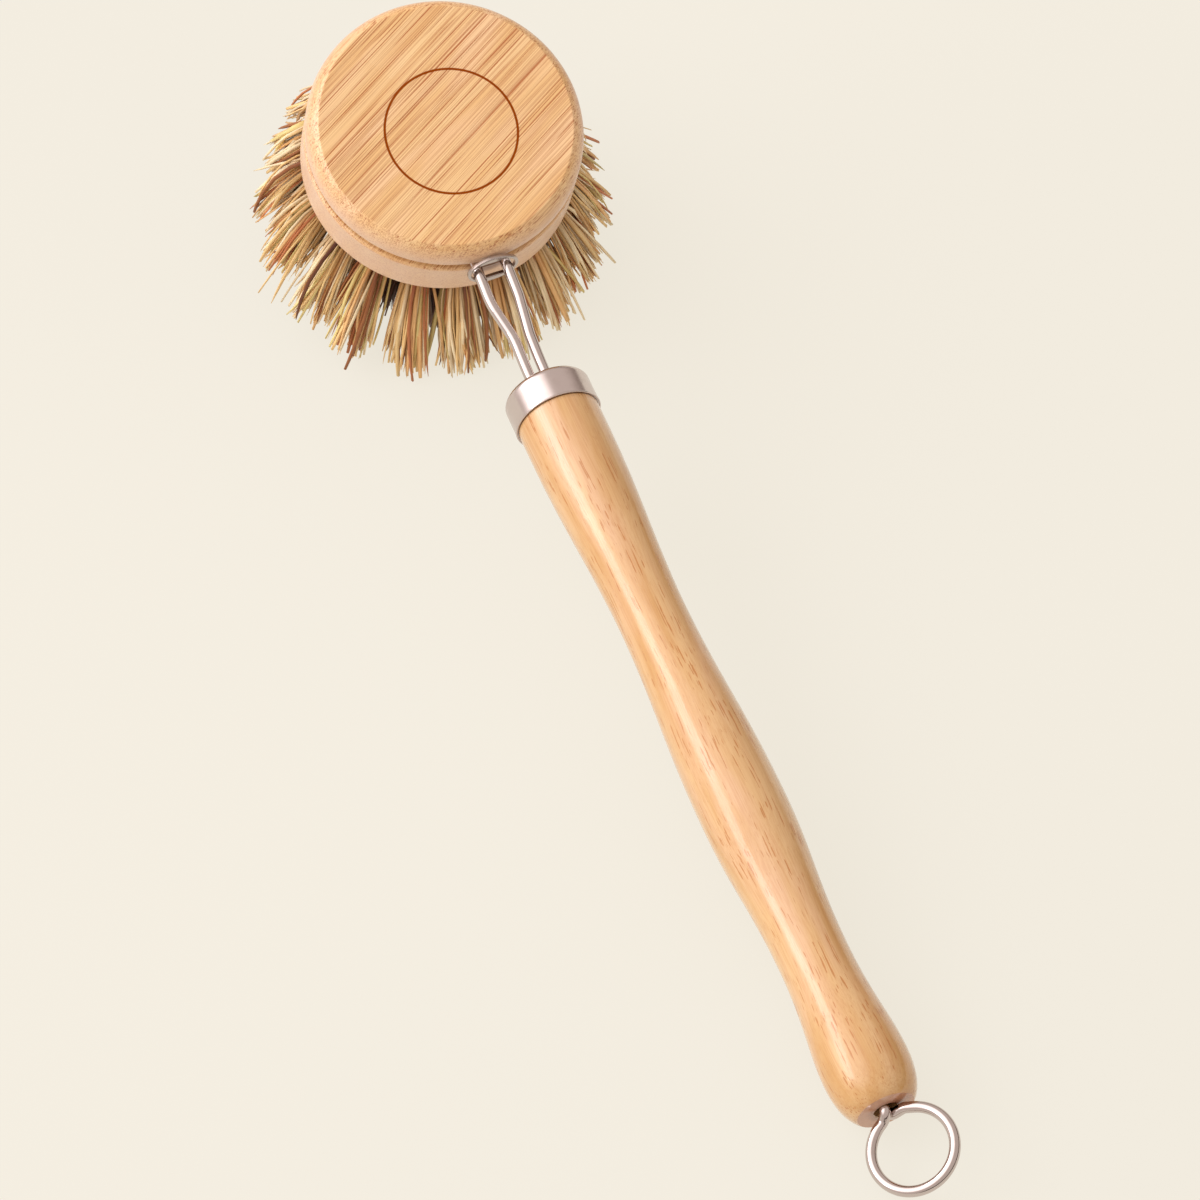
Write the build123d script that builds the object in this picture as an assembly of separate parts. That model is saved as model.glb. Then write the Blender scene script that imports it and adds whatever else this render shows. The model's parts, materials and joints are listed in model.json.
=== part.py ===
# Dish brush with a replaceable round head, a sprung wire bow, a sliding clip and a turned handle.
# All lengths are in millimetres. Each piece is first made in the head's frame: Z up the axis of the
# round head, zero at its flat top face, and the handle towards +X. The whole brush is then laid down
# as it lies on a table, on the tips of its bristles and on the handle's bulb, with +Z up.
from build123d import *
from math import atan2, cos, degrees, pi, radians, sin, sqrt, tan
import os

os.makedirs("parts", exist_ok=True)

# Head block: a turned disc with a narrow groove round its rim
head_radius = 25.0
head_edge_radius = 4.2
head_edge_depth = 3.7
head_crest_radius = 0.3
top_flange_thickness = 4.8
lower_flange_thickness = 9.6
lower_edge_radius = 0.8
groove_edge_radius = 0.6

# Wire bow: one wire round the groove, whose two legs run side by side into the handle
bow_wire_radius = 1.0
groove_clearance = 0.2
bow_depth_in_rim = 2.6
bow_flare_radius = 2.5
bow_wide_half_gap = 2.65
bow_narrow_half_gap = 1.45
bow_side_shift = 0.45
bow_wide_run = 7.5
bow_taper_run = 7.5
bow_sway_radius = 14.0
bow_rise_radius = 24.0
bow_leg_in_handle = 18.0
bow_bore_clearance = 0.05

# Sliding clip: an oval plate with a window that both legs run through
clip_half_width = 4.8
clip_half_height = 3.25
clip_thickness = 0.8
clip_edge_radius = 0.18
clip_window_end_clearance = 0.5
clip_window_clearance = 1.1
clip_raise = 0.5
clip_lean = 14.0
clip_rim_gap = 0.1

# Handle, measured along its own axis from the ferrule's end
handle_rise = 15.5
handle_start_height = 1.38
handle_start_run = 26.32
ferrule_radius = 7.95
ferrule_length = 6.45
ferrule_wall = 0.35
ferrule_corner_radius = 1.3
ferrule_fit_clearance = 0.05
shoulder_run = 6.0
neck_run = 38.5
belly_run = 40.5
waist_run = 31.0
bulb_run = 21.4
bulb_end_run = 8.7
neck_radius = 6.1
belly_radius = 7.65
waist_radius = 6.15
bulb_radius = 7.65
end_face_radius = 5.1
end_hole_countersink = 0.15

# Fullness of the handle's outline: how far each swell and each hollow keeps its radius along its run
shoulder_fullness_share = 0.38
neck_fullness_share = 0.36
belly_fullness_share = 0.42
waist_fullness_share = 0.46
bulb_fullness_share = 0.28
bulb_end_fullness_share = 0.55
end_round_length_share = 0.14
end_round_height_share = 0.55

# Hanging ring: a wire loop whose two ends stand side by side in the handle's end
ring_wire_radius = 0.97
ring_radius = 7.2
ring_centre_run = 8.4
ring_offset = 1.3
ring_opening = 26.0
ring_lead_share = 0.35
ring_mouth_run = 0.85
ring_mouth_radius = 1.25
ring_lead_radius = 2.0
ring_leg_gap = 0.1
ring_leg_depth = 12.0
ring_hole_clearance = 0.1
ring_roll = 23.3

# Tufts: bundles of fibre in blind holes that lean outward with their distance from the centre
tuft_ring_counts = (1, 6, 12, 18)
tuft_ring_turn_share = 0.5
tuft_circle_radius = 19.0
tuft_hole_radius = 2.05
tuft_hole_depth = 6.5
tuft_fit_clearance = 0.05
tuft_stand = 1.2
tuft_splay = 27.5
bristle_reach = 21.2
bristle_trim_spread = 1.3
strand_ring_counts = (1, 4, 6)
strand_ring_turn_share = 0.25
strand_circle_radius = 1.35
strand_fan_radius = 4.0
strand_root_width = 0.78
strand_tip_width = 0.5
strand_root_depth = 0.6
foot_flat_depth = 0.5

# Staples: a flat wire anchor stands on the floor of each hole, with the fibre folded over it
staple_length = 3.6
staple_height = 1.7
staple_thickness = 0.45
staple_clearance = 0.05

# One overrun for every cut that passes through a face
cut_overrun = 3.0

# Steps along each curve of the handle's underside, and rounds, to find how the brush lies on the table
outline_steps = 32
rest_rounds = 6

# Sizes that follow from those above
tuft_rings = len(tuft_ring_counts) - 1
strand_rings = len(strand_ring_counts) - 1
golden_turn = pi * (3 - sqrt(5))
groove_height = 2 * (bow_wire_radius + groove_clearance)
block_thickness = top_flange_thickness + groove_height + lower_flange_thickness
bow_level = -top_flange_thickness - groove_height / 2
bow_loop_radius = head_radius - bow_depth_in_rim
groove_floor_radius = bow_loop_radius - bow_wire_radius - groove_clearance
ring_leg_half_gap = ring_wire_radius + ring_leg_gap / 2
ring_hole_radius = ring_leg_half_gap + ring_wire_radius + ring_hole_clearance
spigot_radius = ferrule_radius - ferrule_wall - ferrule_fit_clearance
shoulder_at = ferrule_length + shoulder_run
neck_at = shoulder_at + neck_run
belly_at = neck_at + belly_run
waist_at = belly_at + waist_run
bulb_at = waist_at + bulb_run
handle_end_at = bulb_at + bulb_end_run

# The handle's own frame: z along its axis away from the head, y towards the brush's left side
handle_start = Vector(head_radius + handle_start_run, 0, bow_level + handle_start_height)
handle_axis = Vector(cos(radians(handle_rise)), 0, sin(radians(handle_rise)))
handle_up = Vector(-sin(radians(handle_rise)), 0, cos(radians(handle_rise)))
handle_frame = Plane(origin=handle_start, x_dir=-handle_up, z_dir=handle_axis)


def revolved(outline):
    """Turn a closed outline, drawn as radius and height, into a solid round Z."""
    return revolve(Plane.XZ * make_face(outline), Axis.Z)


def tube(path, radius):
    """Sweep a round wire of the given radius along a path of lines and tangent arcs."""
    section = Plane(origin=path @ 0, z_dir=path % 0) * Circle(radius)
    wire = sweep(section, path=path)
    share = wire.volume / (pi * radius**2 * path.length)
    print(f"wire {path.length:.1f} mm long, volume over section times length {share:.4f}")
    return wire


def arc_between(start, end, centre, radius):
    """Arc from start to end round a centre, the short way."""
    middle = (start + end) / 2 - centre
    return ThreePointArc(start, centre + middle.normalized() * radius, end)


def tuft_frames():
    """Frame of each tuft at the mouth of its hole, z out along the tuft, x round the head."""
    frames = []
    for ring, count in enumerate(tuft_ring_counts):
        for place in range(count):
            around = 2 * pi * (place + ring * tuft_ring_turn_share) / count
            outward = Vector(cos(around), sin(around), 0)
            lean = radians(tuft_splay * ring / tuft_rings)
            mouth = outward * (tuft_circle_radius * ring / tuft_rings) + Vector(0, 0, -block_thickness)
            along = outward * sin(lean) + Vector(0, 0, -cos(lean))
            frames.append(Plane(origin=mouth, x_dir=(-sin(around), cos(around), 0), z_dir=along))
    return frames


def strand_ends(frame, tuft):
    """Root, tip and side of each strand of one tuft; the outer ones are long, the inner ones trimmed unevenly."""
    ends = []
    for ring, count in enumerate(strand_ring_counts):
        for place in range(count):
            around = 2 * pi * (place + ring * strand_ring_turn_share) / count
            spoke = frame.x_dir * cos(around) + frame.y_dir * sin(around)
            root = frame.origin + spoke * (strand_circle_radius * ring / strand_rings)
            root += frame.z_dir * (tuft_stand - strand_root_depth)
            aim = frame.z_dir * bristle_reach
            aim += spoke * ((strand_fan_radius - strand_circle_radius) * ring / strand_rings)
            height = -block_thickness - bristle_reach
            if ring < strand_rings:
                strand = tuft * sum(strand_ring_counts) + len(ends)
                height += bristle_trim_spread * sin(golden_turn * strand) ** 2
            ends.append((root, root + aim * ((height - root.Z) / aim.Z), spoke))
    return ends


def make_head_block():
    """Turned disc with a crested round shoulder, the groove for the bow and a blind hole for each tuft."""
    groove_top = -top_flange_thickness
    groove_low = groove_top - groove_height
    crest = Vector(head_radius - head_edge_radius + sqrt(head_edge_radius**2 - head_edge_depth**2), 0)
    edge_foot = Vector(head_radius, -head_edge_depth)
    edge_centre = Vector(head_radius - head_edge_radius, -head_edge_depth)
    outline = [
        Line((0, 0), crest),
        arc_between(crest, edge_foot, edge_centre, head_edge_radius),
        Line(edge_foot, (head_radius, groove_top + groove_edge_radius)),
        JernArc((head_radius, groove_top + groove_edge_radius), (0, -1), groove_edge_radius, -90),
        Line((head_radius - groove_edge_radius, groove_top), (groove_floor_radius, groove_top)),
        Line((groove_floor_radius, groove_top), (groove_floor_radius, groove_low)),
        Line((groove_floor_radius, groove_low), (head_radius - groove_edge_radius, groove_low)),
        JernArc((head_radius - groove_edge_radius, groove_low), (1, 0), groove_edge_radius, -90),
        Line((head_radius, groove_low - groove_edge_radius), (head_radius, lower_edge_radius - block_thickness)),
        JernArc((head_radius, lower_edge_radius - block_thickness), (0, -1), lower_edge_radius, -90),
        Line((head_radius - lower_edge_radius, -block_thickness), (0, -block_thickness)),
        Line((0, -block_thickness), (0, 0)),
    ]
    holes = [
        frame * Pos(0, 0, -tuft_hole_depth)
        * Cylinder(tuft_hole_radius, tuft_hole_depth + cut_overrun, align=(Align.CENTER, Align.CENTER, Align.MIN))
        for frame in tuft_frames()
    ]
    disc = revolved(outline)
    disc = fillet(disc.edges().group_by(Axis.Z)[-1], head_crest_radius)
    return disc - holes


def make_tuft(frame, tuft):
    """Root bundle in its hole, folded over the staple, with its strands fanned out of it."""
    length = tuft_hole_depth + tuft_stand
    radius = tuft_hole_radius - tuft_fit_clearance
    low = (Align.CENTER, Align.CENTER, Align.MIN)
    slot_width = staple_thickness + 2 * staple_clearance
    slot_height = staple_height + staple_clearance
    bundle = Cylinder(radius, length, align=low)
    bundle -= Pos(0, 0, -cut_overrun) * Box(2 * tuft_hole_radius, slot_width, slot_height + cut_overrun, align=low)
    strands = []
    for root, tip, side in strand_ends(frame, tuft):
        across = frame.z_dir.cross(side)
        corners = (side + across, across - side, -side - across, side - across)
        ends = [
            Wire(Polyline([end + corner * (width / 2) for corner in corners], close=True).edges())
            for end, width in ((root, strand_root_width), (tip, strand_tip_width))
        ]
        strands.append(Solid.make_loft(ends, True))
    return (frame * Pos(0, 0, -tuft_hole_depth) * bundle).fuse(*strands)


def make_staples():
    """One flat anchor for each tuft, all of them alike."""
    low = (Align.CENTER, Align.CENTER, Align.MIN)
    return [
        frame * Pos(0, 0, -tuft_hole_depth) * Box(staple_length, staple_thickness, staple_height, align=low)
        for frame in tuft_frames()
    ]


def bow_path():
    """Centre line of the bow: up one leg, round the groove and back down the other leg."""
    rise = radians(handle_rise)
    bend_x = handle_start.X - handle_start_height / tan(rise)
    wide_x = head_radius + bow_wide_run
    edges = []
    joins = []
    for side in (1, -1):
        wide_y = side * bow_wide_half_gap - bow_side_shift
        flare_y = wide_y + side * bow_flare_radius
        flare_x = sqrt((bow_loop_radius + bow_flare_radius) ** 2 - flare_y**2)
        narrow_y = side * bow_narrow_half_gap
        leg_end = handle_start + handle_axis * bow_leg_in_handle + Vector(0, narrow_y, 0)
        leg_in = Vector(flare_x, wide_y, bow_level)
        edges += FilletPolyline(
            leg_end,
            (bend_x, narrow_y, bow_level),
            (wide_x + bow_taper_run, narrow_y, bow_level),
            (wide_x, wide_y, bow_level),
            leg_in,
            radius=[bow_rise_radius, bow_sway_radius, bow_sway_radius],
        ).edges()
        centre = Vector(flare_x, flare_y, bow_level)
        level = Vector(0, 0, bow_level)
        join = level + (centre - level).normalized() * bow_loop_radius
        edges.append(arc_between(leg_in, join, centre, bow_flare_radius).edge())
        joins.append(join)
    edges.append(ThreePointArc(joins[0], (-bow_loop_radius, 0, bow_level), joins[1]).edge())
    return Wire(edges)


def make_clip():
    """Oval plate that leans against the head's rim, with a wide window that the two legs pass low in."""
    lean = radians(clip_lean)
    reach = clip_half_height * sin(lean) + clip_thickness / 2 * cos(lean)
    place = Vector(head_radius + clip_rim_gap + reach, -bow_side_shift, bow_level + clip_raise * cos(lean))
    frame = Plane(origin=place, x_dir=(0, 1, 0), z_dir=(cos(lean), 0, sin(lean)))
    window_length = 2 * (bow_wide_half_gap + bow_wire_radius + clip_window_end_clearance)
    window_height = 2 * (bow_wire_radius + clip_window_clearance)
    oval = Ellipse(clip_half_width, clip_half_height) - SlotOverall(window_length, window_height)
    plate = extrude(frame * oval, clip_thickness / 2, both=True)
    return fillet(plate.edges(), clip_edge_radius)


def bow_bores(radius, depth):
    """The two holes that the bow's legs stand in, in the handle's frame."""
    low = (Align.CENTER, Align.CENTER, Align.MIN)
    hole = Cylinder(radius, depth + cut_overrun, align=low)
    return [Pos(0, side * bow_narrow_half_gap, -cut_overrun) * hole for side in (1, -1)]


def make_ferrule():
    """Thin steel cup over the handle's head end, with a round corner and two holes for the legs."""
    corner = ferrule_corner_radius
    inner_corner = ferrule_corner_radius - ferrule_wall
    inner = ferrule_radius - ferrule_wall
    outline = [
        Line((0, 0), (ferrule_radius - corner, 0)),
        JernArc((ferrule_radius - corner, 0), (1, 0), corner, 90),
        Line((ferrule_radius, corner), (ferrule_radius, ferrule_length)),
        Line((ferrule_radius, ferrule_length), (inner, ferrule_length)),
        Line((inner, ferrule_length), (inner, corner)),
        JernArc((inner, corner), (0, -1), inner_corner, -90),
        Line((inner - inner_corner, ferrule_wall), (0, ferrule_wall)),
        Line((0, ferrule_wall), (0, 0)),
    ]
    return handle_frame * (revolved(outline) - bow_bores(bow_wire_radius + bow_bore_clearance, ferrule_length))


def handle_outline():
    """Outline of the handle from the ferrule to the end face, as radius and place along the axis."""
    swells = [
        (shoulder_at, spigot_radius, shoulder_fullness_share),
        (neck_at, neck_radius, neck_fullness_share),
        (belly_at, belly_radius, belly_fullness_share),
        (waist_at, waist_radius, waist_fullness_share),
        (bulb_at, bulb_radius, bulb_fullness_share),
    ]
    curves = []
    for (start, start_radius, start_share), (end, end_radius, end_share) in zip(swells, swells[1:]):
        run = end - start
        curves.append(
            Bezier(
                (start_radius, start),
                (start_radius, start + start_share * run),
                (end_radius, end - end_share * run),
                (end_radius, end),
            )
        )
    drop = bulb_radius - end_face_radius
    curves.append(
        Bezier(
            (bulb_radius, bulb_at),
            (bulb_radius, bulb_at + bulb_end_fullness_share * bulb_end_run),
            (end_face_radius + end_round_height_share * drop, handle_end_at - end_round_length_share * bulb_end_run),
            (end_face_radius, handle_end_at),
        )
    )
    return curves


def make_handle():
    """Turned handle with two hollows, a belly and a bulb, bored for the bow and for the ring."""
    corner = ferrule_corner_radius - ferrule_wall
    outline = [
        Line((0, ferrule_wall), (spigot_radius - corner, ferrule_wall)),
        JernArc((spigot_radius - corner, ferrule_wall), (1, 0), corner, 90),
        Line((spigot_radius, ferrule_wall + corner), (spigot_radius, shoulder_at)),
        *handle_outline(),
        Line((end_face_radius, handle_end_at), (0, handle_end_at)),
        Line((0, handle_end_at), (0, ferrule_wall)),
    ]
    wood = revolved(outline) - bow_bores(bow_wire_radius + bow_bore_clearance, bow_leg_in_handle + bow_bore_clearance)
    depth = ring_leg_depth + ring_hole_clearance
    hole = Cylinder(ring_hole_radius, depth + cut_overrun, align=(Align.CENTER, Align.CENTER, Align.MIN))
    mouth_radius = ring_hole_radius + end_hole_countersink
    mouth = Cone(
        ring_hole_radius, mouth_radius, end_hole_countersink, align=(Align.CENTER, Align.CENTER, Align.MAX)
    )
    wood -= Pos(0, 0, handle_end_at - depth) * hole
    wood -= Pos(0, 0, handle_end_at) * mouth
    return handle_frame * wood


def ring_frame():
    """Plane of the hanging ring: x across the ring, y along the handle's axis, at the end face."""
    roll = radians(ring_roll)
    across = Vector(0, 1, 0) * cos(roll) + handle_up * sin(roll)
    end = handle_start + handle_axis * handle_end_at
    return Plane(origin=end, x_dir=across, z_dir=across.cross(handle_axis))


def ring_path():
    """Centre line of the ring: out of the hole, round the loop and back into the hole under the first end."""
    frame = ring_frame()
    centre = Vector(ring_offset, ring_centre_run)
    opening = radians(ring_opening)
    edges = []
    joins = []
    for side in (-1, 1):
        join = centre + Vector(side * sin(opening), -cos(opening)) * ring_radius
        towards_hole = Vector(-side * cos(opening), -sin(opening))
        corner = join + towards_hole * (ring_lead_share * abs(join.X) / cos(opening))
        level = side * ring_leg_half_gap
        edges += FilletPolyline(
            (0, -ring_leg_depth, level),
            (0, ring_mouth_run, level),
            corner,
            join,
            radius=[ring_mouth_radius, ring_lead_radius],
        ).edges()
        joins.append(join)
    edges.append(ThreePointArc(joins[0], centre + Vector(0, ring_radius), joins[1]).edge())
    return Wire([frame.location * edge for edge in edges])


def low_outline():
    """Points along the underside of the handle's bulb and end, in the head's frame."""
    points = []
    for curve in handle_outline()[-2:]:
        for step in range(outline_steps + 1):
            place = curve @ (step / outline_steps)
            points.append(handle_start + handle_axis * place.Y - handle_up * place.X)
    return points


def table_line():
    """Slope of the table in the head's frame, and its distance from the centre of the top face."""
    tips = [tip for tuft, frame in enumerate(tuft_frames()) for _, tip, _ in strand_ends(frame, tuft)]
    slope = radians(handle_rise)
    for _ in range(rest_rounds):
        table_up = Vector(-sin(slope), 0, cos(slope))
        lowest = min(tips, key=table_up.dot)
        foot = lowest + table_up * foot_flat_depth
        slope = min(atan2(point.Z - foot.Z, point.X - foot.X) for point in low_outline())
    table_up = Vector(-sin(slope), 0, cos(slope))
    return slope, min(tip.dot(table_up) for tip in tips) + foot_flat_depth


def rest_location(nodes):
    """Lay the brush on the table: tilt it, stand it on Z = 0 and centre its plan on the origin."""
    slope, table_level = table_line()
    tilt = Location((0, 0, -table_level)) * Rotation(0, degrees(slope), 0)
    box = Compound([tilt * node for node in nodes]).bounding_box()
    middle = (box.min + box.max) / 2
    return Location((-middle.X, -middle.Y, 0)) * tilt


def above_table(tuft):
    """Cut off what of a tuft would reach below the table."""
    box = tuft.bounding_box()
    if box.min.Z >= 0:
        return tuft
    low = (Align.CENTER, Align.CENTER, Align.MAX)
    size = box.size + Vector(cut_overrun, cut_overrun, cut_overrun)
    centre = box.center()
    return tuft - Pos(centre.X, centre.Y, 0) * Box(size.X, size.Y, size.Z, align=low)


bow = bow_path()
ring = ring_path()
frames = tuft_frames()
fixed_nodes = {
    "handle": make_handle(),
    "ferrule": make_ferrule(),
    "wire_bow": tube(bow, bow_wire_radius),
    "hanging_ring": tube(ring, ring_wire_radius),
    "locking_clip": make_clip(),
    "head_block": make_head_block(),
    "tuft_staples": Compound(make_staples()),
}
tuft_nodes = {f"tuft_{tuft + 1:02d}": make_tuft(frame, tuft) for tuft, frame in enumerate(frames)}
rest = rest_location([*fixed_nodes.values(), *tuft_nodes.values()])

for name, node in fixed_nodes.items():
    export_step(rest * node, f"parts/{name}.step")
for name, node in tuft_nodes.items():
    export_step(above_table(rest * node), f"parts/{name}.step")
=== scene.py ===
"""Looks of a dish brush: a turned bamboo handle, a sprung wire bow and a round, bristled head.

Everything is in metres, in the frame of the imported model. Pieces that the model already shapes
well keep their mesh and get a finish; the bristle tufts are made here again, fibre by fibre.
"""

import json
import logging
import math
from dataclasses import dataclass, field
from enum import Enum

import bpy
import numpy as np
from mathutils import Matrix, Vector


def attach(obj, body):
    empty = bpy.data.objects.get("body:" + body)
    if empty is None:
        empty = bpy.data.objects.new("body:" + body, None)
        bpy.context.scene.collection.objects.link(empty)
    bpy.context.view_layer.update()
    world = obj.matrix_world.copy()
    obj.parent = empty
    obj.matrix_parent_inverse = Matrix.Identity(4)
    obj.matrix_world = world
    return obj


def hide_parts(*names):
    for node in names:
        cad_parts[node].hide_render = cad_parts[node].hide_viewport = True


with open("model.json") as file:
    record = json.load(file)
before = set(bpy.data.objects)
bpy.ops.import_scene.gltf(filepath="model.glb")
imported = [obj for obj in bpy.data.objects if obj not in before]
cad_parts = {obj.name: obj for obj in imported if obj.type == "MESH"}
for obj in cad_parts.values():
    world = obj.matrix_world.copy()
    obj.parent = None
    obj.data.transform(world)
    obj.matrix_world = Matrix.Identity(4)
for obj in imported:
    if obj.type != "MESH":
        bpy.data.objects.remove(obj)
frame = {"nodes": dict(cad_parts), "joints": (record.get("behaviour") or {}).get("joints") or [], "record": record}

LOG = logging.getLogger("dish_brush")
MM = 0.001
GOLDEN_TURN = math.pi * (3 - math.sqrt(5))
TINY = 1e-9
UPWARD = Vector((0.0, 0.0, 1.0))

Triple = tuple[float, float, float]
Colour = Triple
Limits = tuple[float, float]
Socket = bpy.types.NodeSocket
Value = float | Socket
Given = Value | Vector | tuple[float, ...]

RISING: Limits = (0.0, 1.0)
FALLING: Limits = (1.0, 0.0)


def opaque(colour: Colour) -> tuple[float, float, float, float]:
    """The colour with full opacity, as Blender's colour sockets take it."""
    return (*colour, 1.0)


def from_screen(red: int, green: int, blue: int) -> Colour:
    """Turn a colour as a screen shows it, 0 to 255, into the linear one that shaders use.

    Args:
        red: Red, 0 to 255.
        green: Green, 0 to 255.
        blue: Blue, 0 to 255.

    Returns:
        The linear colour, each part 0 to 1.
    """
    parts = []
    for part in (red, green, blue):
        share = part / 255
        parts.append(share / 12.92 if share <= 0.04045 else ((share + 0.055) / 1.055) ** 2.4)
    return (parts[0], parts[1], parts[2])


def bearing(azimuth: float, elevation: float = 0.0) -> Vector:
    """Unit vector towards a place in the room.

    Args:
        azimuth: Angle round the vertical, from +X, in radians.
        elevation: Angle above the horizon, in radians.

    Returns:
        The vector.
    """
    level = math.cos(elevation)
    return Vector((level * math.cos(azimuth), level * math.sin(azimuth), math.sin(elevation)))


class NodeGraph:
    """Shader nodes of one tree, made step by step. Sockets are handed from call to call."""

    def __init__(self, tree: bpy.types.NodeTree) -> None:
        """Work in that tree."""
        self.tree = tree

    def feed(self, target: Socket, value: Given) -> None:
        """Give a socket its value: a link from another socket, or a constant.

        Args:
            target: The socket to set.
            value: The socket to link from, or the constant.
        """
        if isinstance(value, bpy.types.NodeSocket):
            self.tree.links.new(value, target)
        else:
            target.default_value = value

    def node(self, kind: str, *values: Given, **settings: str) -> bpy.types.Node:
        """Add a node.

        Args:
            kind: Blender's name for the kind of node.
            values: What its first sockets get, in their order.
            settings: Its own settings, such as its operation.

        Returns:
            The new node.
        """
        node = self.tree.nodes.new(kind)
        for name, setting in settings.items():
            setattr(node, name, setting)
        for number, value in enumerate(values):
            self.feed(node.inputs[number], value)
        return node

    def vector_math(self, operation: str, first: Socket, second: Socket | Triple) -> Socket:
        """A vector sum, product or the like of two vectors."""
        node = self.node("ShaderNodeVectorMath", first, second, operation=operation)
        return node.outputs["Vector"]

    def scaled(self, vector: Socket, factors: Triple) -> Socket:
        """The vector with each part times its own factor."""
        return self.vector_math("MULTIPLY", vector, factors)

    def counted(self, place: Socket, sizes: Triple) -> Socket:
        """The place, counted along each axis in steps of a size."""
        return self.scaled(place, tuple(1 / size for size in sizes))

    def length(self, vector: Socket) -> Socket:
        """Length of a vector."""
        return self.node("ShaderNodeVectorMath", vector, operation="LENGTH").outputs["Value"]

    def dot(self, vector: Socket, axis: Vector) -> Socket:
        """How far a vector reaches along an axis."""
        node = self.node("ShaderNodeVectorMath", vector, axis, operation="DOT_PRODUCT")
        return node.outputs["Value"]

    def math(self, operation: str, first: Value, second: Value = 0.0) -> Socket:
        """A sum, difference or the like of two numbers."""
        return self.node("ShaderNodeMath", first, second, operation=operation).outputs["Value"]

    def times(self, first: Value, second: Value) -> Socket:
        """The product of two numbers."""
        return self.math("MULTIPLY", first, second)

    def span(self, value: Value, limits: Limits, result: Limits = RISING) -> Socket:
        """Map a range of a value to another range in a soft curve, held at its ends.

        Args:
            value: The value to map.
            limits: Values that give the first and the second result.
            result: The results at those limits.

        Returns:
            The mapped value's socket.
        """
        node = self.node(
            "ShaderNodeMapRange", value, *limits, *result, interpolation_type="SMOOTHSTEP"
        )
        return node.outputs[0]

    def noise(
        self,
        vector: Socket,
        detail: float = 2.0,
        roughness: float = 0.5,
        scale: float = 1.0,
        output: str = "Fac",
    ) -> Socket:
        """Soft noise along a vector.

        Args:
            vector: Where the noise is taken.
            detail: How many finer layers it has.
            roughness: How strong the finer layers are.
            scale: Lumps in one unit of the vector.
            output: Fac for one number of about 0 to 1, Color for three.

        Returns:
            The noise's socket.
        """
        node = self.node("ShaderNodeTexNoise")
        sockets = ("Vector", "Scale", "Detail", "Roughness")
        for name, value in zip(sockets, (vector, scale, detail, roughness)):
            self.feed(node.inputs[name], value)
        return node.outputs[output]

    def lumps(
        self, place: Socket, sizes: Triple, detail: float = 2.0, roughness: float = 0.5
    ) -> Socket:
        """Soft noise, about 0 to 1, whose lumps have those sizes along the axes."""
        return self.noise(self.counted(place, sizes), detail, roughness)

    def drift(self, place: Socket, sizes: Triple, reach: Triple) -> Socket:
        """A slow random shift.

        Args:
            place: Where it is taken.
            sizes: How far apart its turns lie along the axes.
            reach: How strong it is along the axes.

        Returns:
            The shift's vector socket, about zero on average.
        """
        three = self.noise(self.counted(place, sizes), detail=1.0, output="Color")
        return self.scaled(self.vector_math("SUBTRACT", three, (0.5, 0.5, 0.5)), reach)

    def cells(self, vector: Socket, dimensions: str = "2D") -> tuple[Socket, Socket]:
        """Scattered cells of about unit size.

        Args:
            vector: Place, in cells.
            dimensions: 2D for cells that run on along the third axis, 3D for closed ones.

        Returns:
            The distance to the nearest cell's centre, and that cell's own random colour.
        """
        node = self.node("ShaderNodeTexVoronoi", voronoi_dimensions=dimensions)
        self.feed(node.inputs["Vector"], vector)
        self.feed(node.inputs["Scale"], 1.0)
        return node.outputs["Distance"], node.outputs["Color"]

    def attribute(self, name: str, output: str) -> Socket:
        """A value or colour that the mesh carries."""
        return self.node("ShaderNodeAttribute", attribute_name=name).outputs[output]

    def mix(
        self, share: Value, first: Socket | Colour, second: Socket | Colour, blend: str = "MIX"
    ) -> Socket:
        """Mix two colours.

        Args:
            share: How much of the second colour shows, 0 to 1.
            first: The colour at 0.
            second: The colour at 1.
            blend: Blender's blend mode.

        Returns:
            The mixed colour's socket.
        """
        node = self.node("ShaderNodeMix", data_type="RGBA", blend_type=blend)
        self.feed(node.inputs[0], share)
        for number, colour in ((6, first), (7, second)):
            self.feed(node.inputs[number], opaque(colour) if isinstance(colour, tuple) else colour)
        return node.outputs[2]


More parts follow.
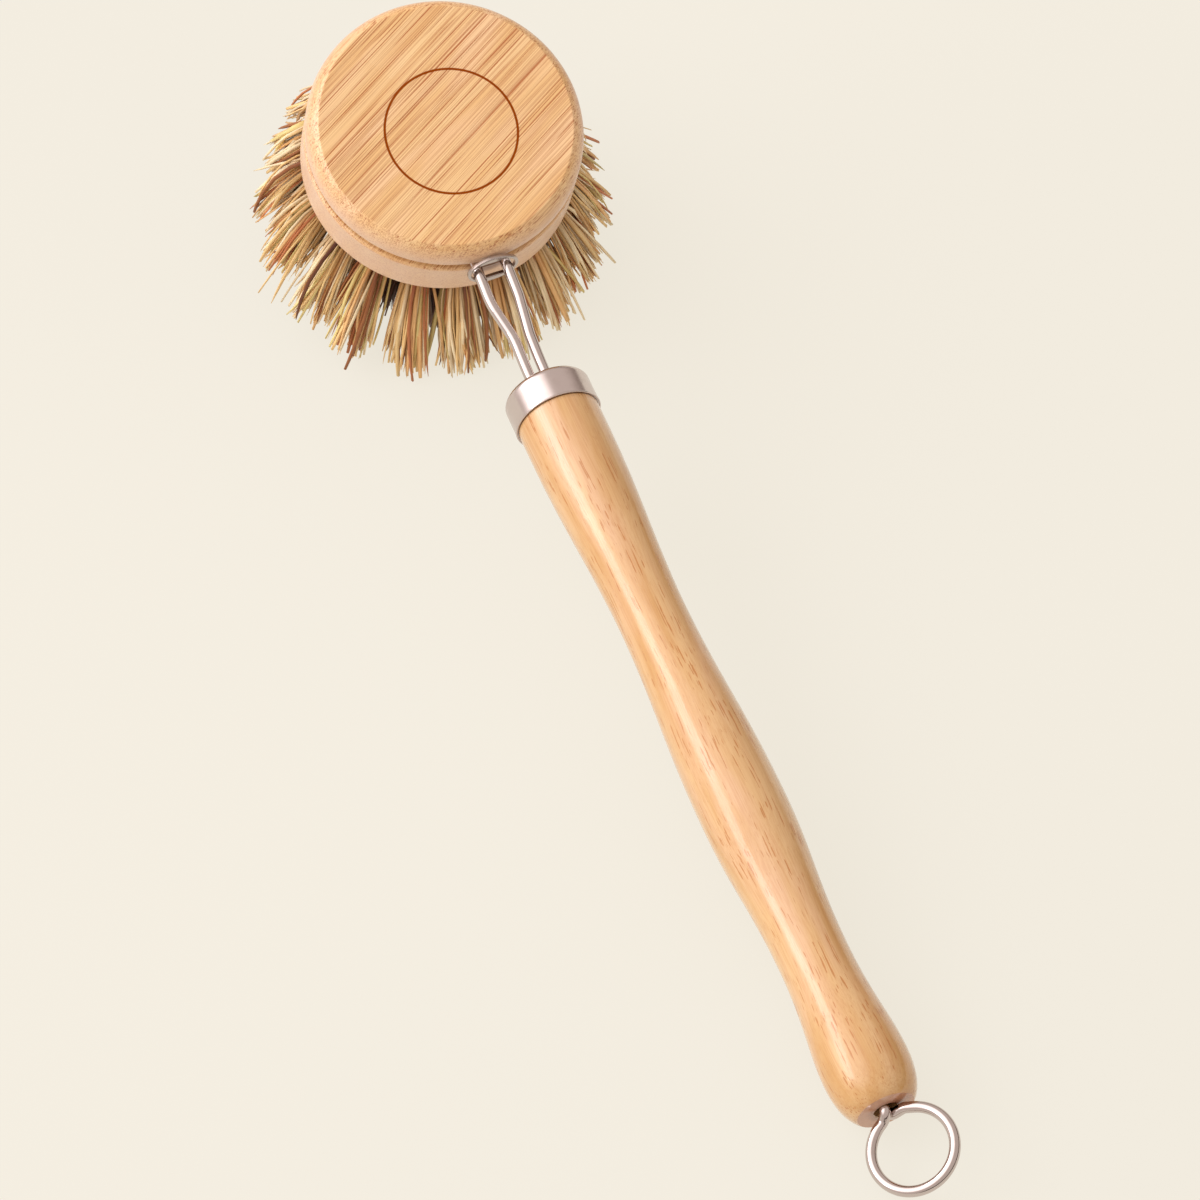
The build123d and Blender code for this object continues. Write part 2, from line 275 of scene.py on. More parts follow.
class NodeMaterial(NodeGraph):
    """One material with a principled surface."""

    def __init__(self, name: str) -> None:
        """Start a material with nothing set.

        Args:
            name: The material's name.
        """
        self.material = bpy.data.materials.new(name)
        self.material.use_nodes = True
        super().__init__(self.material.node_tree)
        self.tree.nodes.clear()
        self.surface = self.node("ShaderNodeBsdfPrincipled")
        self.node("ShaderNodeOutputMaterial", self.surface.outputs["BSDF"])

    def set(self, **values: Given) -> None:
        """Set the surface's sockets, named with underscores in place of blanks."""
        for name, value in values.items():
            self.feed(self.surface.inputs[name.replace("_", " ")], value)

    def colour(self) -> Socket:
        """The socket that gives the surface its colour so far."""
        return self.surface.inputs["Base Color"].links[0].from_socket

    def place(self, origin: Vector, axes: Matrix) -> Socket:
        """Object coordinates as seen from a piece's own axes.

        Args:
            origin: Where the piece's own frame has its zero.
            axes: Matrix whose columns are the piece's own axes.

        Returns:
            The vector socket, in metres.
        """
        objects_own = self.node("ShaderNodeTexCoord").outputs["Object"]
        mapping = self.node("ShaderNodeMapping", objects_own, vector_type="TEXTURE")
        self.feed(mapping.inputs["Location"], origin)
        self.feed(mapping.inputs["Rotation"], axes.to_euler())
        return mapping.outputs["Vector"]

    def normal_along(self, axis: Vector) -> Socket:
        """How much the surface faces along an axis of its own object, -1 to 1."""
        return self.dot(self.node("ShaderNodeTexCoord").outputs["Normal"], axis)

    def bump(self, height: Socket, distance: float) -> None:
        """Let the surface rise and fall.

        Args:
            height: Height of each place, about 0 to 1.
            distance: What a height of 1 comes to, in metres.
        """
        node = self.node("ShaderNodeBump")
        self.feed(node.inputs["Strength"], 1.0)
        self.feed(node.inputs["Distance"], distance)
        self.feed(node.inputs["Height"], height)
        self.feed(self.surface.inputs["Normal"], node.outputs["Normal"])


@dataclass(frozen=True)
class BambooFinish:
    """Bamboo: pale wood in glued strips, run through by darker bundles, sanded or lacquered.

    The bundles are lines through the whole piece, so that a face along them shows long lines, a
    face that cuts them at a slant shows short flecks, and a face across them shows dots. Every
    size in three parts is given across, across and along the fibres.
    """

    name: str
    pale: Colour
    warm: Colour
    blush: Colour
    bundle: Colour
    bundle_spacing: float
    bundle_core: float
    bundle_strength: float
    break_size: Triple
    gathering: float
    gathering_size: Triple
    thread_strength: float
    hair_length: float
    hair_strength: float
    pore_strength: float
    wander: float
    wander_length: float
    strip_width: float
    roughness: float
    coat: float
    coat_roughness: float
    coat_index: float
    relief: float
    strip_contrast: float = 0.35
    wander_width: float = 6.0 * MM
    bundle_chance: Limits = (0.1, 0.9)
    bundle_girth: Limits = (0.4, 1.15)
    bundle_edge: Limits = (0.7, 1.15)
    break_limits: Limits = (0.36, 0.6)
    break_least: float = 0.35
    gathering_limits: Limits = (0.42, 0.6)
    thread_spacing: float = 0.43
    thread_core: float = 0.34
    hair_width: float = 0.22 * MM
    hair_limits: Limits = (0.42, 0.68)
    hair_relief: float = 0.5
    fine_roughness: float = 0.6
    warm_size: Triple = (3.2 * MM, 3.2 * MM, 60.0 * MM)
    warm_limits: Limits = (0.34, 0.66)
    rosy_size: Triple = (5.0 * MM, 5.0 * MM, 24.0 * MM)
    rosy_limits: Limits = (0.45, 0.7)
    rosy_strength: float = 0.6
    across_limits: Limits = (0.15, 0.6)
    pore_size: Triple = (0.36 * MM, 0.36 * MM, 1.5 * MM)
    pore_edge: Limits = (0.22, 0.42)
    pore_chance: Limits = (0.3, 0.8)
    grit_size: float = 0.4 * MM
    matt_limits: Limits = (0.2, 1.6)
    smoother: float = 0.05
    rougher: float = 0.1

    def lines(
        self, made: NodeMaterial, bent: Socket, spacing: float, core: float, strength: Value
    ) -> Socket:
        """Bundles of one size, as a share of 0 to 1 that is high inside them.

        Args:
            made: The material in the making.
            bent: Place in the grain's frame, along slightly wandering fibres.
            spacing: Mean distance between bundles.
            core: Radius of a bundle as a share of the spacing.
            strength: How full the bundles are at a place, 0 to 1.

        Returns:
            The share's socket.
        """
        distance, tint = made.cells(made.scaled(bent, (1 / spacing, 1 / spacing, 0.0)))
        own = made.span(tint, self.bundle_chance, self.bundle_girth)
        radius = made.times(made.times(own, strength), core)
        return made.span(made.math("DIVIDE", distance, radius), self.bundle_edge, FALLING)

    def fullness(self, made: NodeMaterial, place: Socket, bent: Socket) -> tuple[Socket, Socket]:
        """How full the bundles are along their way.

        Args:
            made: The material in the making.
            place: Place in the grain's frame.
            bent: The same place, along slightly wandering fibres.

        Returns:
            The fullness of fine bundles, and that of stout ones, which gather in patches.
        """
        full = made.span(
            made.lumps(bent, self.break_size, detail=1.0),
            self.break_limits,
            (self.break_least, 1.0),
        )
        patch = made.span(made.lumps(place, self.gathering_size), self.gathering_limits)
        return full, made.times(full, made.span(patch, RISING, (1.0 - self.gathering, 1.0)))

    def ground(self, made: NodeMaterial, place: Socket) -> Socket:
        """Colour of the wood between its bundles, with warm clouds, glued strips and a blush.

        Args:
            made: The material in the making.
            place: Place in the grain's frame.

        Returns:
            The colour's socket.
        """
        strips = made.scaled(place, (1 / self.strip_width, 0.0, 0.0))
        strip = made.node("ShaderNodeVectorMath", strips, operation="FLOOR").outputs["Vector"]
        chance = made.node("ShaderNodeTexWhiteNoise", strip).outputs["Value"]
        broad = made.span(made.lumps(place, self.warm_size, detail=3.0), self.warm_limits)
        rosy = made.lumps(place, self.rosy_size)
        colour = made.mix(broad, self.pale, self.warm)
        colour = made.mix(made.times(chance, self.strip_contrast), colour, self.warm)
        return made.mix(
            made.span(rosy, self.rosy_limits, (0.0, self.rosy_strength)), colour, self.blush
        )

    def pores(self, made: NodeMaterial, place: Socket, fibres: Vector) -> Socket:
        """Cut ends of the bundles, where the surface lies across them.

        Args:
            made: The material in the making.
            place: Place in the grain's frame.
            fibres: Direction of the fibres.

        Returns:
            A share of 0 to 1 that is high in the pores.
        """
        facing = made.math("ABSOLUTE", made.normal_along(fibres))
        near, chance = made.cells(made.counted(place, self.pore_size), "3D")
        pore = made.times(
            made.span(near, self.pore_edge, FALLING), made.span(chance, self.pore_chance)
        )
        return made.times(pore, made.span(facing, self.across_limits))

    def material(self, origin: Vector, axes: Matrix) -> NodeMaterial:
        """Make the wood, with its fibres along the third of the given axes.

        Args:
            origin: Zero of the grain's own frame.
            axes: Matrix whose columns are the grain's axes, the third along the fibres.

        Returns:
            The material, whose colour may still be changed before it is used.
        """
        made = NodeMaterial(self.name)
        place = made.place(origin, axes)
        turns = (self.wander_width, self.wander_width, self.wander_length)
        stray = made.drift(place, turns, (self.wander, self.wander, 0.0))
        bent = made.vector_math("ADD", place, stray)
        full, gathered = self.fullness(made, place, bent)
        fleck = self.lines(made, bent, self.bundle_spacing, self.bundle_core, gathered)
        fine = self.bundle_spacing * self.thread_spacing
        thread = self.lines(made, bent, fine, self.thread_core, full)
        hair_size = (self.hair_width, self.hair_width, self.hair_length)
        hair = made.lumps(bent, hair_size, roughness=self.fine_roughness)
        colour = made.mix(
            made.span(hair, self.hair_limits, (0.0, self.hair_strength)),
            self.ground(made, place),
            self.bundle,
        )
        for share, strength in (
            (thread, self.thread_strength),
            (fleck, self.bundle_strength),
            (self.pores(made, place, axes.col[2]), self.pore_strength),
        ):
            colour = made.mix(made.times(share, strength), colour, self.bundle)
        matt = (self.roughness - self.smoother, self.roughness + self.rougher)
        made.set(
            Base_Color=colour,
            Roughness=made.span(made.math("ADD", hair, fleck), self.matt_limits, matt),
            Coat_Weight=self.coat,
            Coat_Roughness=self.coat_roughness,
            Coat_IOR=self.coat_index,
        )
        grit = made.lumps(place, (self.grit_size,) * 3)
        height = made.math("ADD", grit, made.times(hair, self.hair_relief))
        made.bump(made.math("SUBTRACT", height, fleck), self.relief)
        return made


LACQUERED = BambooFinish(
    name="lacquered_bamboo",
    pale=from_screen(224, 183, 129),
    warm=from_screen(207, 157, 94),
    blush=from_screen(222, 177, 134),
    bundle=from_screen(184, 112, 34),
    bundle_spacing=0.46 * MM,
    bundle_core=0.36,
    bundle_strength=0.78,
    break_size=(0.5 * MM, 0.5 * MM, 2.1 * MM),
    gathering=0.8,
    gathering_size=(3.0 * MM, 3.0 * MM, 9.0 * MM),
    thread_strength=0.16,
    hair_length=14.0 * MM,
    hair_strength=0.26,
    pore_strength=0.35,
    wander=1.5 * MM,
    wander_length=24.0 * MM,
    strip_width=7.0 * MM,
    roughness=0.4,
    coat=1.0,
    coat_roughness=0.13,
    coat_index=1.5,
    relief=0.012 * MM,
)

SANDED = BambooFinish(
    name="sanded_bamboo",
    pale=from_screen(247, 210, 154),
    warm=from_screen(237, 191, 128),
    blush=from_screen(247, 205, 159),
    bundle=from_screen(178, 98, 36),
    bundle_spacing=0.38 * MM,
    bundle_core=0.31,
    bundle_strength=0.9,
    break_size=(0.7 * MM, 0.7 * MM, 18.0 * MM),
    gathering=0.25,
    gathering_size=(1.6 * MM, 1.6 * MM, 70.0 * MM),
    thread_strength=0.55,
    hair_length=34.0 * MM,
    hair_strength=0.5,
    pore_strength=0.5,
    wander=0.25 * MM,
    wander_length=45.0 * MM,
    strip_width=3.6 * MM,
    roughness=0.5,
    coat=0.5,
    coat_roughness=0.22,
    coat_index=1.5,
    relief=0.02 * MM,
)


@dataclass(frozen=True)
class SteelFinish:
    """Bright plated or plainly drawn steel, with faint draw marks and handling haze."""

    name: str
    tint: Colour
    roughness: float
    haze: float
    relief: float
    mark_size: Triple = (0.12 * MM, 0.12 * MM, 4.0 * MM)
    mark_haze: float = 0.04
    cloud_size: float = 2.5 * MM
    cloud_detail: float = 4.0
    cloud_roughness: float = 0.6
    haze_limits: Limits = (0.3, 0.75)
    darkening_limits: Limits = (0.45, 0.8)
    darkening_strength: float = 0.35
    stain_tint: Colour = (0.8, 0.76, 0.72)

    def material(self, origin: Vector, axes: Matrix) -> bpy.types.Material:
        """Make the metal, with its draw marks along the third axis.

        Args:
            origin: Zero of the piece's own frame.
            axes: Matrix whose columns are the piece's axes, the third along the draw marks.

        Returns:
            The material.
        """
        made = NodeMaterial(self.name)
        place = made.place(origin, axes)
        marks = made.lumps(place, self.mark_size)
        cloud = made.lumps(
            place, (self.cloud_size,) * 3, self.cloud_detail, self.cloud_roughness
        )
        darkening = made.span(cloud, self.darkening_limits, (0.0, self.darkening_strength))
        dull = tuple(part * less for part, less in zip(self.tint, self.stain_tint))
        matt = made.span(cloud, self.haze_limits, (self.roughness, self.roughness + self.haze))
        made.set(
            Base_Color=made.mix(darkening, self.tint, dull),
            Metallic=1.0,
            Roughness=made.math("ADD", matt, made.times(marks, self.mark_haze)),
        )
        made.bump(marks, self.relief)
        return made.material


BRIGHT = SteelFinish("bright_steel_wire", from_screen(204, 191, 186), 0.06, 0.06, 0.003 * MM)
PLATED = SteelFinish("plated_steel_plate", from_screen(188, 176, 170), 0.16, 0.1, 0.004 * MM)
PRESSED = SteelFinish("bright_steel_cup", from_screen(212, 198, 193), 0.16, 0.08, 0.003 * MM)
DRAWN = SteelFinish("drawn_steel_staple", from_screen(176, 172, 168), 0.35, 0.15, 0.01 * MM)


class FibreTone(Enum):
    """Colours of the plant fibres, as a screen shows them, and how often each turns up."""

    STRAW = ((244, 208, 146), 0.34)
    PALE = ((252, 232, 192), 0.29)
    GREENISH = ((226, 206, 138), 0.09)
    TAN = ((236, 190, 130), 0.15)
    RUSSET = ((202, 126, 78), 0.075)
    BROWN = ((158, 98, 54), 0.04)
    DARK = ((112, 62, 32), 0.005)

    @property
    def colour(self) -> Colour:
        """Linear colour of the tone."""
        return from_screen(*self.value[0])

    @property
    def share(self) -> float:
        """Share of the fibres that have this tone."""
        return self.value[1]


@dataclass(frozen=True)
class FibreFinish:
    """Dry plant fibre: matt, streaked along its length, each fibre in its own tone.

    Every size in three parts is given round the fibre, along it and from fibre to fibre.
    """

    name: str = "plant_fibre"
    roughness: float = 0.46
    smoother: float = 0.1
    rougher: float = 0.15
    matt_limits: Limits = (0.3, 0.7)
    specular: float = 0.4
    streak_size: Triple = (0.1 * MM, 3.5 * MM, 1.0)
    streak_detail: float = 3.0
    streak_roughness: float = 0.6
    streak_limits: Limits = (0.42, 0.72)
    streak_strength: float = 0.5
    streak_tint: Colour = from_screen(196, 164, 130)
    blotch_size: Triple = (0.6 * MM, 5.0 * MM, 1.0)
    blotch_limits: Limits = (0.55, 0.8)
    blotch_strength: float = 0.2
    blotch_tone: Colour = from_screen(170, 112, 66)
    relief: float = 0.015 * MM

    def material(self) -> bpy.types.Material:
        """Make the fibre; its tone, with painted shade, and its place along itself come with the mesh.

        Returns:
            The material.
        """
        made = NodeMaterial(self.name)
        tone = made.attribute("fibre_tone_and_shade", "Color")
        place = made.attribute("fibre_place", "Vector")
        streak = made.lumps(place, self.streak_size, self.streak_detail, self.streak_roughness)
        blotch = made.lumps(place, self.blotch_size)
        darker = made.mix(1.0, tone, self.streak_tint, "MULTIPLY")
        streaked = made.span(streak, self.streak_limits, (0.0, self.streak_strength))
        blotched = made.span(blotch, self.blotch_limits, (0.0, self.blotch_strength))
        matt = (self.roughness - self.smoother, self.roughness + self.rougher)
        made.set(
            Base_Color=made.mix(blotched, made.mix(streaked, tone, darker), self.blotch_tone),
            Roughness=made.span(streak, self.matt_limits, matt),
            Specular_IOR_Level=self.specular,
        )
        made.bump(streak, self.relief)
        return made.material


@dataclass(frozen=True)
class Placement:
    """Where the brush's main parts lie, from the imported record."""

    head_centre: Vector
    head_axes: Matrix
    ferrule_start: Vector
    handle_axes: Matrix

    @staticmethod
    def from_frame(
        handle_run: float = 51.32 * MM,
        handle_drop: float = 4.62 * MM,
        handle_rise: float = math.radians(15.5),
    ) -> "Placement":
        """Read the places from the frame.

        Args:
            handle_run: Distance from the head's axis to the ferrule, along the legs.
            handle_drop: Depth of the ferrule's centre under the head's flat top.
            handle_rise: Angle between the bow's legs at the head and the handle.

        Returns:
            The places. The head's third axis points up out of its top face, its first one
            towards the handle; the handle's third axis points along it, away from the head.
        """
        mounts = {mount["name"]: mount for mount in frame["record"]["mounts"]}
        joints = {joint["name"]: joint for joint in frame["joints"]}
        centre = Vector(mounts["head_top_face"]["pos_m"])
        up = Vector(mounts["head_top_face"]["axis"]).normalized()
        towards = Vector(joints["clip_slide"]["axis"]).normalized()
        side = up.cross(towards)
        along = Matrix.Rotation(-handle_rise, 3, side) @ towards
        return Placement(
            head_centre=centre,
            head_axes=Matrix((towards, side, up)).transposed(),
            ferrule_start=centre + towards * handle_run - up * handle_drop,
            handle_axes=Matrix((side, along.cross(side), along)).transposed(),
        )


def dress(node: str, material: bpy.types.Material) -> None:
    """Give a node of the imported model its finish.

    Args:
        node: Name of the node.
        material: The finish.
    """
    mesh = frame["nodes"][node].data
    mesh.materials.clear()
    mesh.materials.append(material)
    LOG.info("%s: dressed with %s", node, material.name)


def add_mesh(
    name: str,
    points: np.ndarray,
    faces: list[tuple[int, ...]],
    material: bpy.types.Material,
) -> bpy.types.Object:
    """Make a mesh object.

    Args:
        name: Name of the piece.
        points: One row of three metres for each point.
        faces: Point numbers of each face.
        material: Its finish.

    Returns:
        The new object, smooth shaded.
    """
    mesh = bpy.data.meshes.new(name)
    mesh.from_pydata(points.tolist(), [], faces)
    mesh.shade_smooth()
    mesh.materials.append(material)
    piece = bpy.data.objects.new(name, mesh)
    bpy.context.scene.collection.objects.link(piece)
    return piece


@dataclass
class Handle:
    """Turned bamboo handle."""

    place: Placement
    finish: BambooFinish = LACQUERED
    grain_turn: float = math.radians(35)
    end_limits: Limits = (0.6, 0.95)
    end_strength: float = 0.75
    end_tone: Colour = from_screen(194, 134, 106)
    # Painted shade round the mouth of the ring's hole on the end face:
    darkening_limits: Limits = (2.2 * MM, 4.6 * MM)
    darkening_strength: float = 0.85
    hole_shade_tone: Colour = from_screen(112, 56, 38)
    ragged_size: float = 1.6 * MM
    # A dark band on the wood along the ferrule's edge:
    dark_band_at: float = 6.45 * MM
    dark_band_width: float = 0.25 * MM
    dark_band_strength: float = 0.9
    dark_band_tone: Colour = from_screen(92, 54, 30)

    def dress(self) -> None:
        """Give the handle its bamboo, an end-grain tone on its end face with painted shade round the ring's hole,
        and a dark band on the wood along the ferrule's edge.
        """
        axes = self.place.handle_axes
        turned = axes @ Matrix.Rotation(self.grain_turn, 3, "Z")
        made = self.finish.material(self.place.ferrule_start, turned)
        own = made.place(self.place.ferrule_start, axes)
        end = made.span(made.normal_along(axes.col[2]), self.end_limits, (0.0, self.end_strength))
        # Painted shade round the mouth of the ring's hole, with a ragged edge.
        ragged = made.lumps(own, (self.ragged_size,) * 3)
        out = made.length(made.scaled(own, (1.0, 1.0, 0.0)))
        out = made.math("ADD", out, made.times(ragged, self.ragged_size))
        darkening = made.times(end, made.span(out, self.darkening_limits, (self.darkening_strength, 0.0)))
        # A dark band on the wood along the ferrule's edge.
        dark_band_limits = (self.dark_band_at, self.dark_band_at + self.dark_band_width)
        dark_band = made.span(made.dot(own, UPWARD), dark_band_limits, (self.dark_band_strength, 0.0))
        colour = made.mix(darkening, made.mix(end, made.colour(), self.end_tone), self.hole_shade_tone)
        made.set(Base_Color=made.mix(dark_band, colour, self.dark_band_tone))
        dress("handle", made.material)


@dataclass
class Hardware:
    """The metal pieces: ferrule with its rolled lip, wire bow, clip, hanging ring and staples."""

    place: Placement
    ferrule_radius: float = 7.95 * MM
    ferrule_length: float = 6.45 * MM
    lip_radius: float = 0.17 * MM
    lip_steps: int = 96
    lip_sides: int = 14

    def dress(self) -> None:
        """Give every metal piece its steel."""
        start, along = self.place.ferrule_start, self.place.handle_axes
        wire = BRIGHT.material(start, along)
        cup = PRESSED.material(start, along @ Matrix.Rotation(math.pi / 2, 3, "X"))
        dress("wire_bow", wire)
        dress("hanging_ring", wire)
        dress("locking_clip", PLATED.material(start, along))
        dress("ferrule", cup)
        dress("tuft_staples", DRAWN.material(self.place.head_centre, self.place.head_axes))
        self.roll_lip(cup)

    def roll_lip(self, material: bpy.types.Material) -> None:
        """Roll a thin round lip along the ferrule's open edge.

        Args:
            material: Steel of the ferrule.
        """
        around, across = np.meshgrid(
            np.arange(self.lip_steps) * (2 * np.pi / self.lip_steps),
            np.arange(self.lip_sides) * (2 * np.pi / self.lip_sides),
            indexing="ij",
        )
        reach = self.ferrule_radius - self.lip_radius / 2 + self.lip_radius * np.cos(across)
        height = self.ferrule_length - self.lip_radius / 2 + self.lip_radius * np.sin(across)
        local = np.stack([reach * np.cos(around), reach * np.sin(around), height], -1)
        turned = local.reshape(-1, 3) @ np.array(self.place.handle_axes).T
        faces = []
        for step in range(self.lip_steps):
            here, there = step * self.lip_sides, (step + 1) % self.lip_steps * self.lip_sides
            for side in range(self.lip_sides):
                after = (side + 1) % self.lip_sides
                faces.append((here + side, there + side, there + after, here + after))
        points = np.array(self.place.ferrule_start) + turned
        lip = add_mesh("ferrule_lip", points, faces, material)
        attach(lip, "grip")
        LOG.info("%s: rolled, %.1f mm thick", lip.name, 2 * self.lip_radius / MM)


@dataclass
class HeadBlock:
    """Round bamboo block with a plain burnt ring on its top and a painted shadow behind the clip."""

    place: Placement
    finish: BambooFinish = SANDED
    grain_turn: float = math.radians(119.5)
    ring_radius: float = 11.9 * MM
    ring_centre: Vector = field(default_factory=lambda: Vector((1.4, 0.45, 0.0)) * MM)
    ring_line: float = 0.36 * MM
    ring_wobble: float = 0.08 * MM
    wobble_size: float = 0.5 * MM
    top_limits: Limits = (0.9, 0.98)
    burnt: Colour = from_screen(142, 62, 0)
    specular: float = 0.5
    burnt_specular: float = 0.05
    # Painted shadow on the block's wall behind and under the clip:
    clip_shadow_at: Vector = field(default_factory=lambda: Vector((25.0, -0.45, -7.6)) * MM)
    clip_shadow_reach: Triple = (4.0 * MM, 4.6 * MM, 3.6 * MM)
    clip_shadow_limits: Limits = (0.4, 1.0)
    clip_shadow_strength: float = 0.8
    clip_shadow_tone: Colour = from_screen(122, 66, 40)
    # The rim is paler and pinker: partly its pale end grain, partly a painted sheen.
    rim_grain_and_sheen_limits: Limits = (0.1, 0.95)
    rim_grain_and_sheen_strength: float = 0.6
    rim_grain_and_sheen_tone: Colour = from_screen(229, 190, 165)

    def dress(self) -> None:
        """Give the block its bamboo, paler on the rim for its end grain and a painted sheen, and burn the ring
        into its top; paint a shadow behind the clip.
        """
        head = self.place.head_axes
        fibres = head @ Matrix.Rotation(self.grain_turn, 3, "Z")
        fibres = fibres @ Matrix.Rotation(math.pi / 2, 3, "Y")
        made = self.finish.material(self.place.head_centre, fibres)
        own = made.place(self.place.head_centre, head)
        facing = made.normal_along(head.col[2])
        # Paler rim: partly pale end grain, partly a painted sheen where the surface turns away from the top.
        rim_grain_and_sheen = made.span(facing, self.rim_grain_and_sheen_limits, (self.rim_grain_and_sheen_strength, 0.0))
        burn = self.burn(made, own, facing)
        colour = made.mix(rim_grain_and_sheen, made.colour(), self.rim_grain_and_sheen_tone)
        colour = made.mix(burn, colour, self.burnt)
        # Painted shadow on the block's wall behind and under the clip.
        off_clip_shadow = made.vector_math("SUBTRACT", own, self.clip_shadow_at)
        far = made.length(made.vector_math("DIVIDE", off_clip_shadow, self.clip_shadow_reach))
        clip_shadow = made.span(far, self.clip_shadow_limits, (self.clip_shadow_strength, 0.0))
        made.set(
            Base_Color=made.mix(clip_shadow, colour, self.clip_shadow_tone),
            Coat_Weight=made.times(made.math("SUBTRACT", 1.0, burn), self.finish.coat),
            Specular_IOR_Level=made.span(burn, RISING, (self.specular, self.burnt_specular)),
        )
        dress("head_block", made.material)

    def burn(self, made: NodeMaterial, own: Socket, facing: Socket) -> Socket:
        """The burnt ring's line on the flat top.

        Args:
            made: The material in the making.
            own: Place in the head's frame.
            facing: How much the surface faces along the head's axis.

        Returns:
            A share of 0 to 1 that is 1 in the line.
        """
        flat = made.scaled(made.vector_math("SUBTRACT", own, self.ring_centre), (1.0, 1.0, 0.0))
        off = made.math("SUBTRACT", made.length(flat), self.ring_radius)
        wobble = made.times(made.lumps(own, (self.wobble_size,) * 3), self.ring_wobble)
        off = made.math("ADD", made.math("ABSOLUTE", off), wobble)
        line = made.span(off, (self.ring_line / 2, self.ring_line), FALLING)
        return made.times(line, made.span(facing, self.top_limits))


@dataclass
class FibreTufts:
    """The bristles: bundles of plant fibre that fan out of the block's underside."""

    place: Placement
    ring_counts: tuple[int, ...] = (1, 6, 12, 18)
    ring_turn_share: float = 0.5
    circle_radius: float = 19.0 * MM
    block_thickness: float = 16.8 * MM
    hole_depth: float = 6.2 * MM
    splay: float = math.radians(27.0)
    reach: float = 21.2 * MM
    root_radius: float = 1.86 * MM
    fan_radius: float = 3.5 * MM
    inner_fan: float = 1.35
    inner_reach: float = 23.0 * MM
    fan_sideways: float = 1.55
    fan_power: float = 1.15
    use_bend: float = 2.0 * MM
    fibres: int = 104
    tip_scatter: float = 0.45 * MM
    clumps: int = 6
    clump_spread: float = 0.5
    clump_pull: float = 0.5
    clump_hold: Limits = (0.3, 1.0)
    stray_share: float = 0.07
    stray_reach: float = 1.9 * MM
    trim_shape: float = 1.6
    trim_scale: float = 0.55 * MM
    trim_over: float = 0.5 * MM
    short_share: float = 0.08
    short_by: Limits = (1.0, 4.5)
    bow_shape: float = 1.5
    bow_scale: float = 0.5 * MM
    root_step: float = -0.2 * MM
    free_steps: tuple[float, ...] = (0.16, 0.36, 0.58, 0.78, 0.92, 1.0)
    floor_gap: float = 0.15 * MM
    # Painted shade in the brush's core and near the roots:
    core_shade: float = 0.92
    core_depth: float = 5.0 * MM
    root_light: float = 0.2
    root_length: float = 11.0 * MM
    shade_powers: Triple = (0.8, 1.2, 1.65)
    tone_range: Limits = (0.8, 1.16)
    thickness: float = 0.7 * MM
    thickness_log: Limits = (-0.05, 0.32)
    thickness_range: Limits = (0.45, 1.7)
    flatness: Limits = (0.45, 0.95)
    blunt_share: float = 0.6
    taper: float = 0.82
    blunt_end: Limits = (0.78, 0.62)
    sharp_end: Limits = (0.6, 0.16)
    twist: float = 1.6
    ridges: int = 3
    ridge_height: float = 0.12
    sides: int = 5
    pattern_range: float = 1000.0
    finish: FibreFinish = field(default_factory=FibreFinish)
    seed: int = 20

    def mouths(self) -> list[tuple[Vector, Matrix]]:
        """Where the tufts come out of the block.

        Returns:
            Mouth of each tuft's hole, and the tuft's axes, the first one sideways round the
            head and the third out along the fibres, both in the whole frame.
        """
        found = []
        rings = len(self.ring_counts) - 1
        centre, head = self.place.head_centre, self.place.head_axes
        for ring, count in enumerate(self.ring_counts):
            for number in range(count):
                around = 2 * math.pi * (number + ring * self.ring_turn_share) / count
                lean = self.splay * ring / rings
                outward, side = bearing(around), Vector((-math.sin(around), math.cos(around), 0))
                mouth = outward * (self.circle_radius * ring / rings)
                mouth -= Vector((0, 0, self.block_thickness))
                along = outward * math.sin(lean) - Vector((0, 0, math.cos(lean)))
                axes = Matrix((side, along.cross(side), along)).transposed()
                found.append((centre + head @ mouth, head @ axes))
        return found

    def ends(self, draw: np.random.Generator, mouth: Vector) -> tuple[np.ndarray, np.ndarray]:
        """Where the fibres of one tuft start and end, seen along the tuft.

        Args:
            draw: Source of random numbers.
            mouth: Mouth of the hole.

        Returns:
            Root and tip of each fibre, in metres along the tuft's first two axes.
        """
        count = self.fibres
        rank = np.sqrt((np.arange(count) + 0.5) / count)[:, None]
        turn = np.arange(count) * GOLDEN_TURN + draw.uniform(0, 2 * np.pi)
        spoke = np.stack([np.cos(turn), np.sin(turn)], 1)
        inner = (mouth - self.place.head_centre).length < self.inner_reach
        fan = self.fan_radius * (self.inner_fan if inner else 1.0)
        tip = spoke * (fan * rank)
        tip += draw.normal(0, self.tip_scatter, tip.shape)
        stray = draw.random((count, 1)) < self.stray_share
        heads = draw.normal(0, self.clump_spread, (self.clumps, 2)) * self.fan_radius
        nearest = np.linalg.norm(tip[:, None] - heads[None], axis=2).argmin(1)
        hold = draw.uniform(*self.clump_hold, (count, 1))
        tip += (heads[nearest] - tip) * self.clump_pull * hold
        tip += np.where(stray, draw.normal(0, self.stray_reach, tip.shape), 0)
        return spoke * (self.root_radius * rank), tip

    def lengths(
        self, draw: np.random.Generator, tip: np.ndarray, axes: Matrix
    ) -> tuple[np.ndarray, np.ndarray]:
        """How long the fibres are, so that their tips lie in the head's flat working plane.

        Args:
            draw: Source of random numbers.
            tip: Tip of each fibre along the tuft's first two axes, before it fans sideways.
            axes: The tuft's axes.

        Returns:
            Length of each fibre outside its hole, and the tips, fanned out sideways.
        """
        count = self.fibres
        shorter = draw.gamma(self.trim_shape, self.trim_scale, count) - self.trim_over
        is_short = draw.random(count) < self.short_share
        shorter += np.where(is_short, draw.uniform(*self.short_by, count) * MM, 0)
        fanned = tip * np.array([self.fan_sideways, 1.0])
        down = -self.place.head_axes.col[2]
        falls = np.array([axis.dot(down) for axis in axes.col])
        return (self.reach - shorter - fanned @ falls[:2]) / falls[2], fanned

